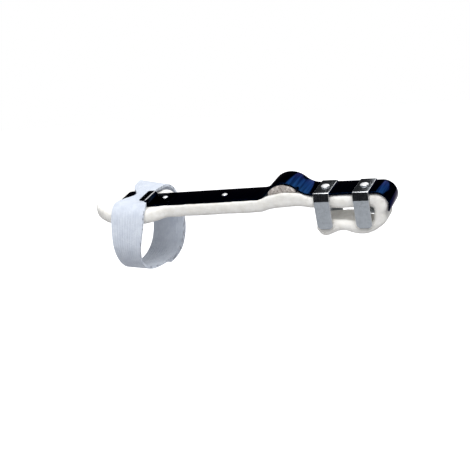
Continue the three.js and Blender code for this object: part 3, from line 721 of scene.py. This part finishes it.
webbing, tree, shader = new_material(
    "white_brushed_webbing", Roughness=0.9, Sheen_Weight=0.3, Sheen_Roughness=0.5)
shader.inputs["Specular IOR Level"].default_value = 0.2
uv = add_node(tree, "ShaderNodeTexCoord")
across_uv = add_node(tree, "ShaderNodeSeparateXYZ")
rib_turn = add_node(tree, "ShaderNodeMath", operation="MULTIPLY")
rib_turn.inputs[1].default_value = 2 * math.pi * STRAP_WIDTH / RIB_PITCH * 2
rib_wave = add_node(tree, "ShaderNodeMath", operation="SINE")
fuzz_noise = add_node(tree, "ShaderNodeTexNoise", Scale=1400.0, Detail=4.0, Roughness=0.75)
cloud_noise = add_node(tree, "ShaderNodeTexNoise", Scale=180.0, Detail=4.0, Roughness=0.6)
cloud_range = add_node(tree, "ShaderNodeMapRange", From_Min=0.35, From_Max=0.65)
webbing_tone = add_node(tree, "ShaderNodeMix", data_type="RGBA")
webbing_tone.inputs["A"].default_value = (0.60, 0.645, 0.72, 1)
webbing_tone.inputs["B"].default_value = (0.51, 0.555, 0.64, 1)
webbing_height = add_node(tree, "ShaderNodeMath", operation="MULTIPLY_ADD")
webbing_height.inputs[1].default_value = 0.25
webbing_relief = add_node(tree, "ShaderNodeBump", Strength=0.6, Distance=0.0004)
tree.links.new(uv.outputs["UV"], across_uv.inputs["Vector"])
tree.links.new(across_uv.outputs["X"], rib_turn.inputs[0])
tree.links.new(rib_turn.outputs["Value"], rib_wave.inputs[0])
tree.links.new(rib_wave.outputs["Value"], webbing_height.inputs[0])
tree.links.new(uv.outputs["Object"], fuzz_noise.inputs["Vector"])
tree.links.new(uv.outputs["Object"], cloud_noise.inputs["Vector"])
tree.links.new(fuzz_noise.outputs["Fac"], webbing_height.inputs[2])
tree.links.new(cloud_noise.outputs["Fac"], cloud_range.inputs["Value"])
tree.links.new(cloud_range.outputs["Result"], webbing_tone.inputs["Factor"])
tree.links.new(webbing_tone.outputs["Result"], shader.inputs["Base Color"])
tree.links.new(webbing_height.outputs["Value"], webbing_relief.inputs["Height"])
tree.links.new(webbing_relief.outputs["Normal"], shader.inputs["Normal"])
strap.data.materials.append(webbing)
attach(strap, "root")
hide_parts("wrist_strap")

# Studio: a pale floor below the held-up splint, a soft overhead light, two lights behind it that the rivets,
# the arch and the curl pick up, and dark surroundings for the flat steel to mirror. The camera stands where
# the photograph was taken from.
FLOOR_DROP = 110 * MM
FLOOR_SIZE = 1300 * MM
FLOOR_X = 70 * MM
LIT_POINT = Vector((70, 0, 5)) * MM
PHOTO_AZIMUTH = 25.15
PHOTO_ELEVATION = 22.17
PHOTO_ROLL = 11.30
AIM = Vector((65.0, 0, -16.9)) * MM
CAMERA_AWAY = 747.5 * MM
LENS = 89.35

bpy.ops.object.select_all(action="DESELECT")
bpy.ops.mesh.primitive_plane_add(size=FLOOR_SIZE, location=(FLOOR_X, 0, cad_box[0][2] - FLOOR_DROP))
floor = bpy.context.object
floor.name = "floor"
floor_paint, tree, shader = new_material("pale_floor", Roughness=0.9)
shader.inputs["Base Color"].default_value = (0.50, 0.50, 0.51, 1)
shader.inputs["Specular IOR Level"].default_value = 0.0
shader.inputs["Emission Color"].default_value = (1, 1, 1, 1)
light_path = add_node(tree, "ShaderNodeLightPath")
seen = add_node(tree, "ShaderNodeMath", operation="MULTIPLY_ADD")
seen.inputs[1].default_value = 0.9
mirrored = add_node(tree, "ShaderNodeMath", operation="MULTIPLY")
mirrored.inputs[1].default_value = 0.07
tree.links.new(light_path.outputs["Is Glossy Ray"], mirrored.inputs[0])
tree.links.new(light_path.outputs["Is Camera Ray"], seen.inputs[0])
tree.links.new(mirrored.outputs["Value"], seen.inputs[2])
tree.links.new(seen.outputs["Value"], shader.inputs["Emission Strength"])
floor.data.materials.append(floor_paint)

world = bpy.data.worlds.new("studio")
bpy.context.scene.world = world
world.use_nodes = True
world.cycles.sampling_method = "NONE"
sky = world.node_tree
sky.nodes.clear()
sky_out = sky.nodes.new("ShaderNodeOutputWorld")
path = add_node(sky, "ShaderNodeLightPath")
ambient = add_node(sky, "ShaderNodeBackground", Color=(0.97, 0.98, 1.0, 1), Strength=0.42)
white = add_node(sky, "ShaderNodeBackground", Color=(1, 1, 1, 1), Strength=1.0)
dark = add_node(sky, "ShaderNodeBackground", Color=(0.5, 0.5, 0.55, 1), Strength=0.04)
for_gloss = sky.nodes.new("ShaderNodeMixShader")
for_camera = sky.nodes.new("ShaderNodeMixShader")
sky.links.new(path.outputs["Is Glossy Ray"], for_gloss.inputs["Fac"])
sky.links.new(ambient.outputs["Background"], for_gloss.inputs[1])
sky.links.new(dark.outputs["Background"], for_gloss.inputs[2])
sky.links.new(path.outputs["Is Camera Ray"], for_camera.inputs["Fac"])
sky.links.new(for_gloss.outputs["Shader"], for_camera.inputs[1])
sky.links.new(white.outputs["Background"], for_camera.inputs[2])
sky.links.new(for_camera.outputs["Shader"], sky_out.inputs["Surface"])


def soft_light(name, direction, away, size, size_y, radiance):
    """An area light that faces the splint's middle from a direction."""
    direction = Vector(direction).normalized()
    data = bpy.data.lights.new(name, "AREA")
    data.shape = "RECTANGLE"
    data.size, data.size_y = size, size_y
    data.energy = radiance * math.pi * size * size_y
    made = bpy.data.objects.new(name, data)
    made.location = LIT_POINT + direction * away
    made.rotation_euler = direction.to_track_quat("Z", "Y").to_euler()
    bpy.context.scene.collection.objects.link(made)


soft_light("overhead_softbox", (0.25, -0.40, 1.0), 0.9, 0.9, 0.8, 5.0)
soft_light("high_back_softbox", (-0.15, 0.55, 0.85), 1.0, 0.6, 0.4, 1.5)
soft_light("back_strip", (0.19, 0.84, 0.49), 1.1, 0.64, 0.56, 1.95)

camera_data = bpy.data.cameras.new("camera")
camera_data.lens = LENS
camera_data.sensor_width = 36
camera = bpy.data.objects.new("camera", camera_data)
bpy.context.scene.collection.objects.link(camera)
bpy.context.scene.camera = camera
az, el, roll = (math.radians(a) for a in (PHOTO_AZIMUTH, PHOTO_ELEVATION, PHOTO_ROLL))
back = Vector((math.sin(az) * math.cos(el), -math.cos(az) * math.cos(el), math.sin(el)))
right = Vector((math.cos(az), math.sin(az), 0))
up = back.cross(right)
turned_right = right * math.cos(roll) - up * math.sin(roll)
turned_up = right * math.sin(roll) + up * math.cos(roll)
axes = Matrix((turned_right, turned_up, back)).transposed().to_4x4()
camera.matrix_world = Matrix.Translation(AIM + back * CAMERA_AWAY) @ axes
bpy.context.scene.view_settings.view_transform = "Standard"
